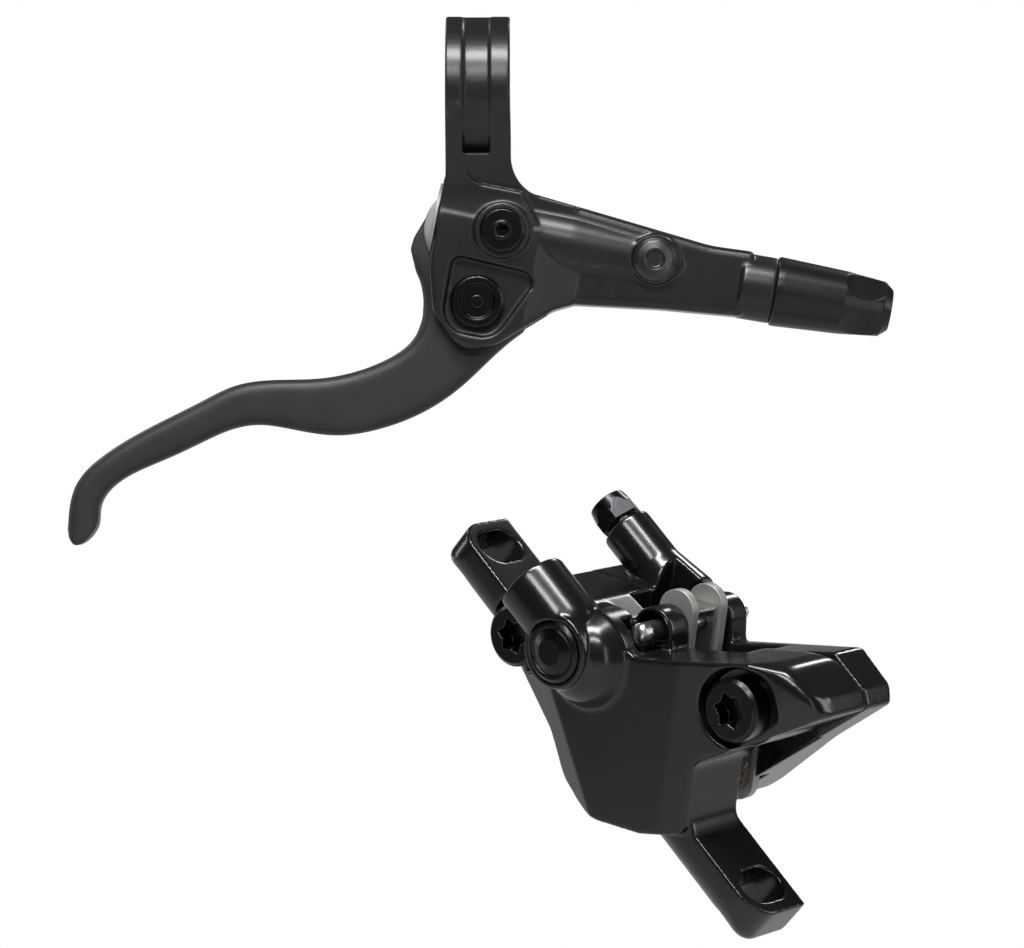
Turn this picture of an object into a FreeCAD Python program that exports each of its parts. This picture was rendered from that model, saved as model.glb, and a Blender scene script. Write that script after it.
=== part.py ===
"""Hydraulic disc brake for a bicycle: a brake lever with its master cylinder, and a post mount caliper.

Millimetres. The origin is the centre of the handlebar clamp, on the bar axis. X runs along the bar,
Y from the bleed screw's side of the lever to the clamp bolt's side, and Z up. Three smaller frames are
used: the barrel frame lies on the master cylinder axis, the hose frame on the hose outlet axis, and
the caliper frame on the pistons' axis, with x along the rotor's edge, y across the rotor and z outward.
"""
import FreeCAD, Part
import math
import os

# Handlebar clamp
bar_diameter = 22.2
clamp_wall = 3.9
clamp_width = 12.8
clamp_slit = 2.0
clamp_groove_left = -2.9
clamp_groove_right = 2.4
clamp_groove_depth = 0.5
clamp_groove_bottom = -13.0
clamp_lug_reach = 10.2
clamp_lug_height = 7.0
clamp_bolt_diameter = 5.0
clamp_bolt_head_diameter = 8.5
clamp_bolt_head_height = 5.0
clamp_bolt_socket = 4.0

# Master cylinder barrel, in the barrel frame
barrel_origin = (4.8, 0.0, -28.1)
barrel_slope = 11.3
barrel_radius = 7.3
barrel_start = -13.2
barrel_taper_start = 14.0
barrel_shoulder = 33.0
barrel_shoulder_radius = 6.2
barrel_end = 38.0
barrel_end_radius = 4.8
web_end = 50.0
web_thickness = 10.0
web_rounding = 1.6
bore_diameter = 10.0
bore_start = 0.4
bore_end = 26.5
passage_diameter = 2.4
collar_radius = 7.3
collar_below = 1.25
collar_dome_radius = 9.8
collar_dome_along = -6.66
collar_plate = 0.6

# Lever fork and pivot, in the barrel frame
fork_width = 14.6
fork_slot = 8.8
fork_roof = 5.2
fork_rounding = 1.2
fork_web_start = 12.0
fork_blend_start = 7.5
fork_end = 17.0
pivot_along = -2.1
pivot_below = 14.8
pivot_diameter = 6.0
pivot_head_diameter = 10.7
pivot_head_height = 1.6
pivot_head_dish = 7.2
pivot_pocket_depth = 1.5
pivot_clip_thickness = 0.8
pivot_clip_diameter = 9.0
bush_wall = 1.0
bush_flange_thickness = 0.6
bush_flange_diameter = 11.0

# Screws and plugs on the front of the barrel, in the barrel frame
bleed_boss_diameter = 11.1
bleed_boss_height = 8.2
bleed_head_diameter = 8.8
bleed_head_height = 0.9
bleed_ring_diameter = 3.8
bleed_ring_height = 0.4
bleed_socket = 2.5
bleed_thread_diameter = 5.0
bleed_thread_wall = 0.8
plug_along = 30.9
plug_above = 0.4
plug_diameter = 8.8
plug_dimple_diameter = 3.6
plug_dome = 0.9
plug_depth = 1.6
plug_boss_diameter = 9.8
plug_boss_height = 6.3

# Hose outlet, in the hose frame
hose_origin = (59.1, 0.0, -39.8)
hose_slope = 9.5
hose_neck_diameter = 13.2
hose_neck_length = 7.0
hose_spigot_diameter = 10.6
hose_spigot_length = 7.0
hose_diameter = 5.0
hose_clearance = 0.2
hose_nut_thread_diameter = 8.0
hose_nut_thread_length = 7.6
hose_nut_flats = 8.0
hose_nut_head_length = 5.0
cover_diameter = 13.9
cover_length = 23.6
cover_mid_diameter = 12.7
cover_mid_along = 14.0
cover_end_diameter = 11.0
cover_end_along = 21.9
cover_tip_diameter = 8.2
cover_scallop_depth = 0.8
cover_scallop_radius = 9.0

# Lever blade
blade_width = 8.2
blade_edge = 2.2
blade_hub_width = 8.2
reach_screw_diameter = 4.0
reach_screw_length = 5.4
reach_screw_tip = -8.6

# Master piston and what rides on it, in the barrel frame
piston_clearance = 0.05
master_piston_length = 14.0
seal_groove_depth = 0.9
seal_width = 1.8
seal_inset = 1.6
push_rod_diameter = 3.6
push_rod_gap = 0.1
push_rod_socket_depth = 5.0
spring_wire = 0.8
spring_turns = 5
spring_sides = 12
spring_clearance = 0.5
retaining_ring_thickness = 0.8
retaining_ring_bite = 0.6

# Caliper placement: the middle of the rotor gap on the pistons' axis, and its three turns
caliper_origin = (34.4, -136.8, -117.3)
caliper_yaw = -38.8
caliper_pitch = 13.7
caliper_roll = 6.1

# Caliper body, in the caliper frame
mount_spacing = 74.0
mount_turn = 33.4
mount_line_offset = -0.1
mount_centre_along = -4.0
mount_across = -9.5
ear_width = 13.0
ear_thickness = 7.8
ear_end = 5.6
ear_rounding = 5.0
ear_fillet = 4.0
slot_width = 6.5
slot_length = 9.5
housing_radius = 14.4
outer_face = 18.5
inner_face = 16.5
body_bolt_along = 22.7
body_bolt_out = 11.0
body_boss_radius = 6.4
inner_boss_radius = 5.6
top_out = 20.4
bevel_offset = 8.8
bevel_turn = 211.1
arm_tilt_start = 12.0
arm_tilt = 11.5
nose_rounding = 3.5
ridge_start = 27.3
ridge_out = 12.2
ridge_end = 36.0
ridge_end_out = 15.5
ridge_depth = 1.1
ridge_height = 3.5
bevel_angle = 30.0
back_slope_start = 11.0
back_slope_end = 26.4
back_nose_face = 8.0
back_bevel_drop = 1.6
rotor_gap = 3.0
rotor_radius = 80.0
rotor_radial_clearance = 2.0
rotor_engagement = 8.0
pad_pocket_left = -14.2
pad_pocket_right = 15.5
pad_pocket_half_depth = 5.6
window_left = -9.1
wall_corner_along = 14.0
wall_corner_out = -1.0
wall_end = -3.5
pocket_roof = 12.6

# Hose port and bleed port on the caliper
port_along = -18.9
port_out = 21.5
port_across = -19.5
port_diameter = 12.0
port_length = 10.0
port_bore_diameter = 8.0
port_bore_depth = 9.5
port_relief_diameter = 10.0
port_relief_reach = 6.0
port_seat_diameter = 2.6
hump_along = -6.5
hump_out = 11.7
hump_radius = 8.4
hump_tip_radius = 5.6
hump_face = -23.6
bleed_port_along = -20.7
bleed_port_out = 27.2
bleed_port_across = 6.5
bleed_port_diameter = 8.8
bleed_port_flare_start = 9.0
bleed_port_base_diameter = 12.0
bleed_port_length = 17.0
nipple_flats = 7.0
nipple_head_length = 4.6
nipple_neck_diameter = 6.0
nipple_neck_length = 1.0
nipple_thread_length = 8.0
nipple_bore_diameter = 1.8
passage_plug_along = -8.9
passage_plug_out = 13.0
passage_boss_diameter = 12.6
passage_boss_face = -24.4
passage_plug_diameter = 10.2
passage_plug_step_diameter = 7.6
passage_plug_face_diameter = 4.4
passage_plug_proud = 1.2
passage_plug_flange = 0.5
passage_plug_stem_diameter = 5.0
passage_plug_stem_length = 4.0

# Caliper pistons, pads and their pin
caliper_piston_diameter = 22.0
caliper_piston_length = 9.4
caliper_piston_wall = 2.6
piston_bore_clearance = 0.6
square_seal_width = 2.2
square_seal_height = 1.8
square_seal_from_pocket = 2.2
plate_thickness = 1.6
lining_thickness = 1.7
lining_inset = 1.0
pad_gap = 2.8
pad_left = -13.4
pad_right = 14.4
pad_top = 10.4
pad_bottom = -10.8
pad_corner = 3.2
tab_radius = 3.5
tab_centre_out = 19.7
pin_out = 17.0
pin_diameter = 2.4
pin_hole_clearance = 0.15
pin_head_diameter = 3.4
pin_head_reach = 4.1
pin_head_slot = 0.6
pin_far_reach = 4.0
lug_radius = 4.0
lug_near = -10.6
lug_far = 10.2
lug_recess_diameter = 6.4
lug_recess_depth = 2.6
recess_corner_along = 3.0
recess_corner_out = 14.4
spring_strip = 0.4
spring_strip_width = 5.4
spring_leg_bottom = 11.2
spring_crown_out = 20.0

# Body bolts
body_bolt_diameter = 6.0
body_bolt_head_diameter = 10.4
body_bolt_head_height = 4.2
body_bolt_head_face = -18.2
body_bolt_counterbore = 13.2
body_bolt_socket_tip = 3.2
body_bolt_socket_valley = 2.2
body_bolt_socket_depth = 2.6
body_bolt_end = 13.0
bolt_hole_clearance = 0.1
o_ring_radius = 2.6
o_ring_section = 1.3
o_ring_along = -17.0
o_ring_out = 3.4


def vec(x, y, z):
    return FreeCAD.Vector(x, y, z)


def frame_at(origin, slope):
    """The placement of a frame whose x axis drops towards +X by the slope, in degrees."""
    return FreeCAD.Placement(vec(*origin), FreeCAD.Rotation(vec(0, 1, 0), slope))


barrel_frame = frame_at(barrel_origin, barrel_slope)
hose_frame = frame_at(hose_origin, hose_slope)
caliper_frame = FreeCAD.Placement(
    vec(*caliper_origin), FreeCAD.Rotation(caliper_yaw, caliper_pitch, caliper_roll)
)

# Derived values
clamp_radius = bar_diameter / 2 + clamp_wall
half_clamp = clamp_width / 2
half_fork = fork_width / 2
half_slot = fork_slot / 2
bore_radius = bore_diameter / 2
hose_bore_radius = hose_diameter / 2 + hose_clearance
bleed_thread_length = bleed_boss_height - bore_radius - bleed_thread_wall
piston_radius = caliper_piston_diameter / 2
plate_outside = pad_gap / 2 + lining_thickness + plate_thickness
pin_hole_radius = pin_diameter / 2 + pin_hole_clearance
mount_cos = math.cos(math.radians(mount_turn))
mount_sin = math.sin(math.radians(mount_turn))
rotor_centre_out = rotor_engagement - rotor_radius


def placed(shape, frame):
    """A copy of the shape, moved from the frame given to the object's own frame."""
    moved = shape.copy()
    moved.Placement = frame.multiply(moved.Placement)
    return moved


def rounded_wire(corners):
    """A closed wire in the XZ plane through corners (x, z, radius), each rounded by its radius."""
    count = len(corners)
    stretches = []
    for i in range(count):
        before = vec(corners[i - 1][0], 0, corners[i - 1][1])
        corner = vec(corners[i][0], 0, corners[i][1])
        after = vec(corners[(i + 1) % count][0], 0, corners[(i + 1) % count][1])
        radius = corners[i][2]
        if radius == 0:
            stretches.append((corner, None, corner))
            continue
        back = (before - corner).normalize()
        ahead = (after - corner).normalize()
        half = back.getAngle(ahead) / 2
        setback = radius / math.tan(half)
        bisector = (back + ahead).normalize()
        middle = corner + bisector * (radius / math.sin(half) - radius)
        stretches.append((corner + back * setback, middle, corner + ahead * setback))
    edges = []
    for i, (start, middle, end) in enumerate(stretches):
        if middle:
            edges.append(Part.Arc(start, middle, end).toShape())
        following = stretches[(i + 1) % count][0]
        if end.distanceToPoint(following) > 1e-6:
            edges.append(Part.makeLine(end, following))
    return Part.Wire(edges)


def prism(corners, near, far):
    """A rounded outline in the XZ plane, from y = near to y = far."""
    face = Part.Face(rounded_wire(corners))
    face.translate(vec(0, near, 0))
    return face.extrude(vec(0, far - near, 0))


def across_prism(corners, left, right):
    """A rounded outline in the YZ plane of (y, z, radius) corners, from x = left to x = right."""
    solid = prism(corners, -right, -left)
    solid.rotate(vec(0, 0, 0), vec(0, 0, 1), 90)
    return solid


def upright(corners, bottom, top):
    """A rounded outline in the XY plane of (x, y, radius) corners, from z = bottom to z = top."""
    solid = prism([(x, -y, radius) for x, y, radius in corners], bottom, top)
    solid.rotate(vec(0, 0, 0), vec(1, 0, 0), 90)
    return solid


def mirrored(corners):
    """An outline of its right half and the left half that mirrors it."""
    return corners + [(-x, z, radius) for x, z, radius in reversed(corners)]


def beyond(first, second, third, size=120):
    """All that lies past the plane through three points, on the side that their right-hand turn faces."""
    a, b, c = vec(*first), vec(*second), vec(*third)
    normal = (b - a).cross(c - a)
    slab = Part.makeBox(size, size, size, vec(-size / 2, -size / 2, 0))
    slab.Placement = FreeCAD.Placement(a, FreeCAD.Rotation(vec(0, 0, 1), normal))
    return slab


def block(x0, x1, y0, y1, z0, z1):
    return Part.makeBox(x1 - x0, y1 - y0, z1 - z0, vec(x0, y0, z0))


def rod(radius, start, end):
    """A cylinder between two points."""
    line = vec(*end) - vec(*start)
    return Part.makeCylinder(radius, line.Length, vec(*start), line)


def turned(profile, frame=None):
    """A solid turned about the x axis from (x, radius) points."""
    points = [vec(x, 0, radius) for x, radius in profile]
    face = Part.Face(Part.makePolygon(points + [points[0]]))
    solid = face.revolve(vec(0, 0, 0), vec(1, 0, 0), 360)
    return placed(solid, frame) if frame else solid


def turned_across(profile, x, z):
    """A solid turned about the line along y through (x, z), from (y, radius) points."""
    points = [vec(x + radius, y, z) for y, radius in profile]
    face = Part.Face(Part.makePolygon(points + [points[0]]))
    return face.revolve(vec(x, 0, z), vec(0, 1, 0), 360)


def plain_ring(radius, wire, centre, axis):
    """A ring of wire that is kept plain with six sides."""
    corners = [
        vec(radius + wire / 2 * math.cos(math.radians(60 * i)), 0, wire / 2 * math.sin(math.radians(60 * i)))
        for i in range(7)
    ]
    ring = Part.Face(Part.makePolygon(corners)).revolve(vec(0, 0, 0), vec(0, 0, 1), 360)
    ring.Placement = FreeCAD.Placement(vec(*centre), FreeCAD.Rotation(vec(0, 0, 1), vec(*axis)))
    return ring


def hexagon(flats, start, direction, length):
    """A hexagonal prism with the distance over its flats given."""
    corner = flats / math.sqrt(3)
    points = [
        vec(corner * math.cos(math.radians(60 * i)), corner * math.sin(math.radians(60 * i)), 0)
        for i in range(7)
    ]
    solid = Part.Face(Part.makePolygon(points)).extrude(vec(0, 0, length))
    turn = FreeCAD.Rotation(vec(0, 0, 1), vec(*direction))
    solid.Placement = FreeCAD.Placement(vec(*start), turn)
    return solid


def star_socket(tip, valley, x, y, z, depth):
    """A six-pointed socket along +y, from the distance of its points and of its valleys."""
    corners = []
    for i in range(12):
        turn = math.radians(30 * i)
        reach = valley if i % 2 else tip
        corners.append((x + reach * math.cos(turn), z + reach * math.sin(turn), 0.25 * (tip - valley)))
    return prism(corners, y, y + depth)


def round_edges(solid, radius, wanted):
    """The solid with the edges that the test picks rounded."""
    edges = [edge for edge in solid.Edges if wanted(edge)]
    return solid.makeFillet(radius, edges)


def export(name, shape):
    shape.exportStep("parts/" + name + ".step")


# Lever housing
def fork_outline():
    """The outline of the lever fork, in the barrel frame."""
    return [
        (barrel_start, 1.5, 0),
        (barrel_start + 0.2, -9.4, 7),
        (-10.4, -18.6, 7),
        (-3.6, -25.2, 5),
        (3.4, -22.4, 4),
        (13.2, -13.4, 4),
        (fork_end, -11.5, 0),
        (fork_end, 1.5, 0),
    ]


def web_outline():
    """The side outline of the barrel with the web beneath it, in the barrel frame."""
    return [
        (-6.0, 7.0, 0),
        (-6.0, -6.0, 0),
        (9.4, -17.6, 0),
        (14.2, -11.9, 5),
        (34.0, -9.0, 60),
        (web_end, -7.3, 0),
        (web_end, 5.9, 0),
        (41.5, 5.4, 25),
        (19.0, 7.4, 30),
        (5.0, 8.6, 0),
    ]


def fork_blend(side):
    """What is cut from the fork's side so that it narrows to the web."""
    corners = [
        vec(fork_blend_start, side * half_fork, -40),
        vec(fork_end, side * web_thickness / 2, -40),
        vec(fork_end + 1, side * web_thickness / 2, -40),
        vec(fork_end + 1, side * (half_fork + 1), -40),
        vec(fork_blend_start, side * (half_fork + 1), -40),
    ]
    return Part.Face(Part.makePolygon(corners + corners[:1])).extrude(vec(0, 0, 60))


def clamp_solid():
    """The clamp ring with its lugs and the neck down to the barrel."""
    ring = rod(clamp_radius, (-half_clamp, 0, 0), (half_clamp, 0, 0))
    lug_end = clamp_radius + clamp_lug_reach
    lugs = block(-half_clamp, half_clamp, 0, lug_end, -clamp_lug_height, clamp_lug_height)
    lugs = round_edges(lugs, 3.0, lambda edge: edge.BoundBox.YMin > lug_end - 0.01
                       and edge.BoundBox.XLength > 1)
    neck = prism([
        (-half_clamp, 0, 0),
        (-half_clamp, -17.4, 3),
        (-9.4, -23.6, 0),
        (-9.4, -27.0, 0),
        (19.6, -27.0, 0),
        (19.6, -23.1, 0),
        (half_clamp + 0.2, -19.6, 8),
        (half_clamp + 0.2, -10.0, 20),
        (half_clamp, 0, 0),
    ], -clamp_radius, clamp_radius)
    neck = neck.common(across_prism(mirrored([
        (13.6, 0, 0),
        (12.7, -8.0, 0),
        (8.9, -14.0, 4),
        (5.2, -19.5, 9),
        (4.8, -30.0, 0),
    ]), -20, 30))
    strip = prism([
        (-half_clamp, 0, 0),
        (-half_clamp, -17.4, 3),
        (-9.4, -23.6, 0),
        (-9.4, -27.0, 0),
        (12.0, -27.0, 0),
        (9.0, -20.6, 0),
        (clamp_groove_left + 0.1, -18.2, 5),
        (clamp_groove_left, 0, 0),
    ], -clamp_radius, clamp_radius)
    strip = strip.common(across_prism(mirrored([
        (13.6, 0, 0),
        (12.7, -8.0, 0),
        (8.2, -14.2, 8),
        (6.9, -20.0, 20),
        (7.2, -28.0, 0),
    ]), -20, 30))
    neck = neck.fuse(strip)
    ends = (clamp_groove_left, 0, 0), (clamp_groove_right, 0, 0)
    groove = rod(clamp_radius + 5, *ends).cut(rod(clamp_radius - clamp_groove_depth, *ends))
    groove = groove.cut(block(-20, 20, 0, 60, -60, 60))
    groove = groove.cut(block(-20, 20, -60, 60, -60, clamp_groove_bottom))
    return ring.fuse(neck).cut(groove).fuse(lugs)


def lever_housing():
    barrel = turned([
        (barrel_start, 0),
        (barrel_start, barrel_radius),
        (barrel_taper_start, barrel_radius),
        (barrel_shoulder, barrel_shoulder_radius),
        (barrel_end, barrel_end_radius),
        (barrel_end, 0),
    ])
    web = prism(web_outline(), -web_thickness / 2, web_thickness / 2)
    web = round_edges(web, web_rounding, lambda edge: edge.BoundBox.YLength < 0.01
                      and edge.BoundBox.XMin > 8 and edge.BoundBox.XLength > 1)
    fork = prism(fork_outline(), -half_fork, half_fork)
    fork = round_edges(fork, fork_rounding, lambda edge: edge.BoundBox.YLength < 0.01
                       and edge.BoundBox.ZMax < 1.4 and edge.BoundBox.XMax < fork_end - 0.01)
    for side in (-1, 1):
        fork = fork.cut(fork_blend(side))
    bleed_boss = rod(bleed_boss_diameter / 2, (0, 0, 0), (0, -bleed_boss_height, 0))
    plug_boss = rod(plug_boss_diameter / 2, (plug_along, 0, plug_above),
                    (plug_along, -plug_boss_height, plug_above))
    body = placed(barrel.fuse([web, fork, bleed_boss, plug_boss]), barrel_frame)
    neck = turned([
        (-hose_neck_length, 0),
        (-hose_neck_length, hose_neck_diameter / 2 - 0.4),
        (-hose_neck_length + 0.4, hose_neck_diameter / 2),
        (0, hose_neck_diameter / 2),
        (0, hose_spigot_diameter / 2),
        (hose_spigot_length, hose_spigot_diameter / 2),
        (hose_spigot_length, 0),
    ], hose_frame)
    housing = body.fuse(neck).fuse(clamp_solid())

    open_end = block(-40, barrel_start, -20, 20, -40, barrel_radius)
    upper_slot = block(-40, bore_start - 0.8, -half_slot, half_slot, -40, fork_roof)
    lower_slot = block(-40, fork_web_start, -half_slot, half_slot, -40, -barrel_radius - 0.4)
    bore = rod(bore_radius, (bore_start - 2, 0, 0), (bore_end, 0, 0))
    passage = rod(passage_diameter / 2, (bore_end - 1, 0, 0), (web_end + 8, 0, 0))
    ring_groove = rod(bore_radius + retaining_ring_bite, (bore_start, 0, 0),
                      (bore_start + retaining_ring_thickness, 0, 0))
    pivot_hole = rod(pivot_diameter / 2, (pivot_along, -40, -pivot_below),
                     (pivot_along, 40, -pivot_below))
    head_seat = half_fork - pivot_pocket_depth
    pocket = prism([
        (pivot_along - 6.6, -pivot_below + 8.3, 2.0),
        (pivot_along + 11.4, -pivot_below + 7.6, 2.4),
        (pivot_along + 4.6, -pivot_below - 6.8, 5.0),
        (pivot_along - 6.2, -pivot_below - 6.8, 5.0),
    ], -half_fork - 1, -head_seat)
    clip_seat = rod(pivot_clip_diameter / 2 + 0.4, (pivot_along, head_seat, -pivot_below),
                    (pivot_along, 40, -pivot_below))
    bleed_hole = rod(bleed_thread_diameter / 2, (0, -40, 0), (0, -bleed_boss_height + bleed_thread_length, 0))
    plug_hole = rod(plug_diameter / 2, (plug_along, -40, plug_above),
                    (plug_along, -plug_boss_height + plug_depth, plug_above))
    screw_seat = rod(bleed_boss_diameter / 2, (0, -40, 0), (0, -bleed_boss_height, 0))
    for tool in (open_end, upper_slot, lower_slot, bore, passage, ring_groove, pivot_hole, pocket,
                 clip_seat, bleed_hole, plug_hole, screw_seat):
        housing = housing.cut(placed(tool, barrel_frame))

    thread_hole = placed(rod(hose_nut_thread_diameter / 2, (hose_spigot_length - hose_nut_thread_length, 0, 0),
                             (40, 0, 0)), hose_frame)
    feed = placed(rod(passage_diameter / 2, (-hose_neck_length - 6, 0, 0), (1, 0, 0)), hose_frame)

    bar = rod(bar_diameter / 2, (-40, 0, 0), (40, 0, 0))
    slit = block(-20, 20, 0, 60, -clamp_slit / 2, clamp_slit / 2)
    bolt_y = clamp_radius + clamp_lug_reach / 2 - 0.4
    shank_hole = rod(clamp_bolt_diameter / 2 + bolt_hole_clearance, (0, bolt_y, -40), (0, bolt_y, 40))
    head_hole = rod(clamp_bolt_head_diameter / 2 + 0.3, (0, bolt_y, -40),
                    (0, bolt_y, -clamp_lug_height + 2.5))
    for tool in (bar, slit, shank_hole, head_hole, thread_hole, feed):
        housing = housing.cut(tool)
    return housing.removeSplitter()


def clamp_bolt():
    bolt_y = clamp_radius + clamp_lug_reach / 2 - 0.4
    seat = -clamp_lug_height + 2.5
    shank = rod(clamp_bolt_diameter / 2, (0, bolt_y, seat), (0, bolt_y, clamp_lug_height - 0.5))
    head = rod(clamp_bolt_head_diameter / 2, (0, bolt_y, seat - clamp_bolt_head_height), (0, bolt_y, seat))
    socket = hexagon(clamp_bolt_socket, (0, bolt_y, seat - clamp_bolt_head_height), (0, 0, 1), 2.6)
    return head.fuse(shank).cut(socket)


def end_collar():
    """The domed grey collar on the open end of the barrel, open where the lever's arm passes."""
    collar = rod(collar_radius, (-40, 0, -collar_below), (barrel_start, 0, -collar_below))
    collar = collar.common(Part.makeSphere(collar_dome_radius, vec(collar_dome_along, 0, -collar_below)))
    collar = collar.fuse(rod(barrel_radius, (barrel_start - collar_plate, 0, 0), (barrel_start, 0, 0)))
    return placed(collar.cut(block(-40, 0, -half_slot, half_slot, -40, fork_roof)), barrel_frame)


def pivot_pin():
    seat = half_fork - pivot_pocket_depth
    head_radius = pivot_head_diameter / 2
    dish_radius = pivot_head_dish / 2
    pin_radius = pivot_diameter / 2
    groove_start = seat + 0.1
    pin = turned_across([
        (-seat - pivot_head_height, 0),
        (-seat - pivot_head_height, 1.2),
        (-seat - pivot_head_height + 0.5, 1.2),
        (-seat - pivot_head_height + 0.5, dish_radius - 0.4),
        (-seat - pivot_head_height, dish_radius),
        (-seat - pivot_head_height, head_radius - 0.5),
        (-seat - pivot_head_height + 0.5, head_radius),
        (-seat, head_radius),
        (-seat, pin_radius),
        (groove_start, pin_radius),
        (groove_start, pin_radius - 0.6),
        (groove_start + pivot_clip_thickness, pin_radius - 0.6),
        (groove_start + pivot_clip_thickness, pin_radius),
        (half_fork - 0.2, pin_radius),
        (half_fork - 0.2, 0),
    ], pivot_along, -pivot_below)
    return placed(pin, barrel_frame)


def pivot_clip():
    seat = half_fork - pivot_pocket_depth + 0.1
    outer = rod(pivot_clip_diameter / 2, (pivot_along, seat, -pivot_below),
                (pivot_along, seat + pivot_clip_thickness, -pivot_below))
    inner = rod(pivot_diameter / 2 - 0.6, (pivot_along, seat - 1, -pivot_below),
                (pivot_along, seat + 2, -pivot_below))
    mouth = block(pivot_along - 2.0, pivot_along + 2.0, seat - 1, seat + 2,
                  -pivot_below - pivot_clip_diameter, -pivot_below)
    return placed(outer.cut(inner).cut(mouth), barrel_frame)


def pivot_bushes():
    """Two flanged bushes in the blade's hub, on the pivot pin."""
    pin_radius = pivot_diameter / 2 + piston_clearance
    face = blade_hub_width / 2 - bush_flange_thickness
    bushes = []
    for side in (-1, 1):
        bush = turned_across([
            (side * 0.5, pin_radius),
            (side * 0.5, pin_radius + bush_wall),
            (side * face, pin_radius + bush_wall),
            (side * face, bush_flange_diameter / 2),
            (side * (face + bush_flange_thickness), bush_flange_diameter / 2),
            (side * (face + bush_flange_thickness), pin_radius),
        ], pivot_along, -pivot_below)
        bushes.append(placed(bush, barrel_frame))
    return Part.makeCompound(bushes)


def bleed_screw():
    radius = bleed_head_diameter / 2
    top = -bleed_boss_height - bleed_head_height
    screw = turned_across([
        (-bleed_boss_height + bleed_thread_length, 0),
        (-bleed_boss_height + bleed_thread_length, bleed_thread_diameter / 2),
        (-bleed_boss_height, bleed_thread_diameter / 2),
        (-bleed_boss_height, radius),
        (top + 0.4, radius),
        (top, radius - 0.4),
        (top, bleed_ring_diameter / 2),
        (top - bleed_ring_height, bleed_ring_diameter / 2 - 0.2),
        (top - bleed_ring_height, 0),
    ], 0, 0)
    socket = hexagon(bleed_socket, (0, top - bleed_ring_height, 0), (0, 1, 0), 2.0)
    return placed(screw.cut(socket), barrel_frame)


def channel_plug():
    """The domed plug that closes the drilled channel, with a dimple in its middle."""
    radius = plug_diameter / 2
    face = -plug_boss_height
    dimple = plug_dimple_diameter / 2
    plug = turned_across([
        (face + plug_depth, 0),
        (face + plug_depth, radius),
        (face, radius),
        (face - plug_dome * 0.7, radius * 0.8),
        (face - plug_dome, dimple + 0.3),
        (face - plug_dome + 0.6, dimple - 0.3),
        (face - plug_dome + 0.6, 0),
    ], plug_along, plug_above)
    return placed(plug, barrel_frame)


# Master piston group
piston_face = bore_start + retaining_ring_thickness + 0.1


def seal_grooves():
    """The start of each seal's groove along the piston."""
    return (piston_face + seal_inset + 2.0, piston_face + master_piston_length - seal_inset - seal_width)


def master_piston():
    radius = bore_radius - piston_clearance
    end = piston_face + master_piston_length
    piston = rod(radius, (piston_face, 0, 0), (end, 0, 0))
    for start in seal_grooves():
        ring = rod(radius + 1, (start, 0, 0), (start + seal_width, 0, 0))
        piston = piston.cut(ring.cut(rod(radius - seal_groove_depth, (start, 0, 0), (start + seal_width, 0, 0))))
    piston = piston.cut(rod(push_rod_diameter / 2, (piston_face - 1, 0, 0),
                            (piston_face + push_rod_socket_depth, 0, 0)))
    return placed(piston, barrel_frame)


def piston_seal(start):
    radius = bore_radius - piston_clearance
    ring = rod(radius, (start, 0, 0), (start + seal_width, 0, 0))
    return placed(ring.cut(rod(radius - seal_groove_depth, (start, 0, 0), (start + seal_width, 0, 0))),
                  barrel_frame)


def push_rod():
    """The push rod, with a round nose against the reach screw."""
    radius = push_rod_diameter / 2
    nose = reach_screw_tip + push_rod_gap
    rod_end = piston_face + push_rod_socket_depth
    body = rod(radius, (nose + radius, 0, 0), (rod_end, 0, 0))
    ball = Part.makeSphere(radius, vec(nose + radius, 0, 0))
    flange = rod(radius + 1.1, (piston_face - 2.4, 0, 0), (piston_face - 1.2, 0, 0))
    return placed(body.fuse(ball).fuse(flange), barrel_frame)


def retaining_ring():
    outer = bore_radius + retaining_ring_bite
    ring = rod(outer, (bore_start, 0, 0), (bore_start + retaining_ring_thickness, 0, 0))
    ring = ring.cut(rod(bore_radius - 1.6, (bore_start - 1, 0, 0), (bore_start + 3, 0, 0)))
    gap = block(bore_start - 1, bore_start + 3, -1.2, 1.2, -outer - 1, 0)
    return placed(ring.cut(gap), barrel_frame)


def piston_spring():
    """The return spring ahead of the master piston, a coil kept plain: short runs of square wire."""
    start = piston_face + master_piston_length + spring_wire / 2 + 0.1
    end = bore_end - spring_wire / 2 - 0.1
    radius = bore_radius - spring_clearance - spring_wire / 2
    length = end - start
    steps = spring_turns * spring_sides
    points = []
    for i in range(steps + 1):
        turn = 2 * math.pi * i / spring_sides
        points.append(vec(start + length * i / steps, radius * math.cos(turn), radius * math.sin(turn)))
    half = spring_wire / 2
    corners = [points[0] + vec(x, y, 0) for x, y in ((half, 0), (0, half), (-half, 0), (0, -half), (half, 0))]
    coil = Part.makePolygon(points).makePipeShell([Part.makePolygon(corners)], True, False, 1)
    return placed(coil, barrel_frame)


# Hose outlet of the lever
def hose_nut():
    start = hose_spigot_length - hose_nut_thread_length + 0.3
    thread = rod(hose_nut_thread_diameter / 2, (start, 0, 0), (hose_spigot_length, 0, 0))
    head = hexagon(hose_nut_flats, (hose_spigot_length, 0, 0), (1, 0, 0), hose_nut_head_length)
    bore = rod(hose_bore_radius, (start - 1, 0, 0), (40, 0, 0))
    return placed(thread.fuse(head).cut(bore), hose_frame)


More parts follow.
